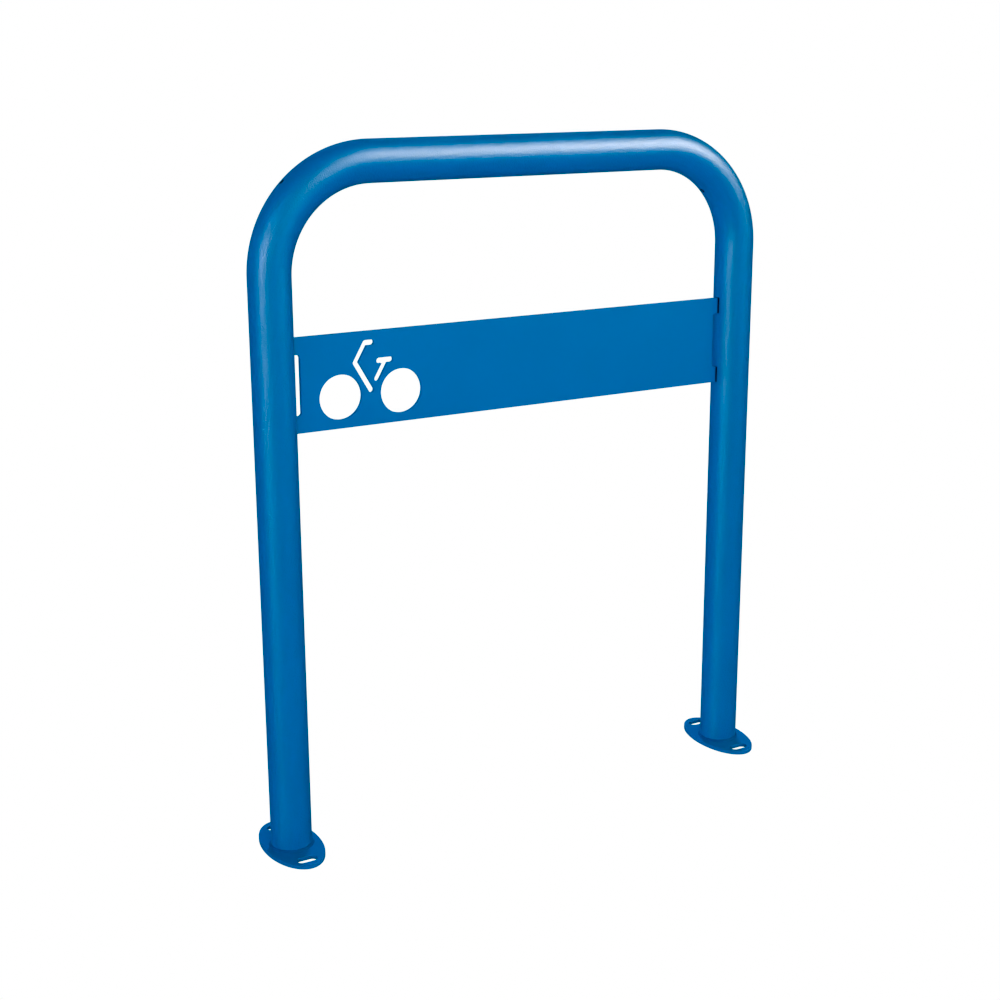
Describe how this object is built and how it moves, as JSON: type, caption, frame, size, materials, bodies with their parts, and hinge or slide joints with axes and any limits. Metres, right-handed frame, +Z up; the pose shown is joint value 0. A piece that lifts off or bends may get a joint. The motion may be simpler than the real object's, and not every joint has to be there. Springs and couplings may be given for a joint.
{
  "type": "hoop bike rack",
  "caption": "Bent-tube hoop bike rack with a sheet panel between its legs that has a bicycle cut through it, standing on elliptical base plates slotted for anchors.",
  "frame": {"origin": "on the ground, midway between the two legs and in the plane of the hoop", "axes": "+X along the hoop, from the leg beside the bicycle cut-out to the other leg; -Y is the front, where the bicycle's handlebar is on the left; +Z up"},
  "size_m": [0.864, 0.156, 1.023],
  "materials": {
    "blue_powder_coat": "satin blue powder coat over galvanised steel"
  },
  "bodies": {
    "root": {"hoop_tube": "blue_powder_coat", "infill_panel": "blue_powder_coat", "left_base_plate": "blue_powder_coat", "right_base_plate": "blue_powder_coat", "left_foot_weld": "blue_powder_coat", "right_foot_weld": "blue_powder_coat", "left_panel_welds": "blue_powder_coat", "right_panel_welds": "blue_powder_coat"}
  },
  "joints": []
}
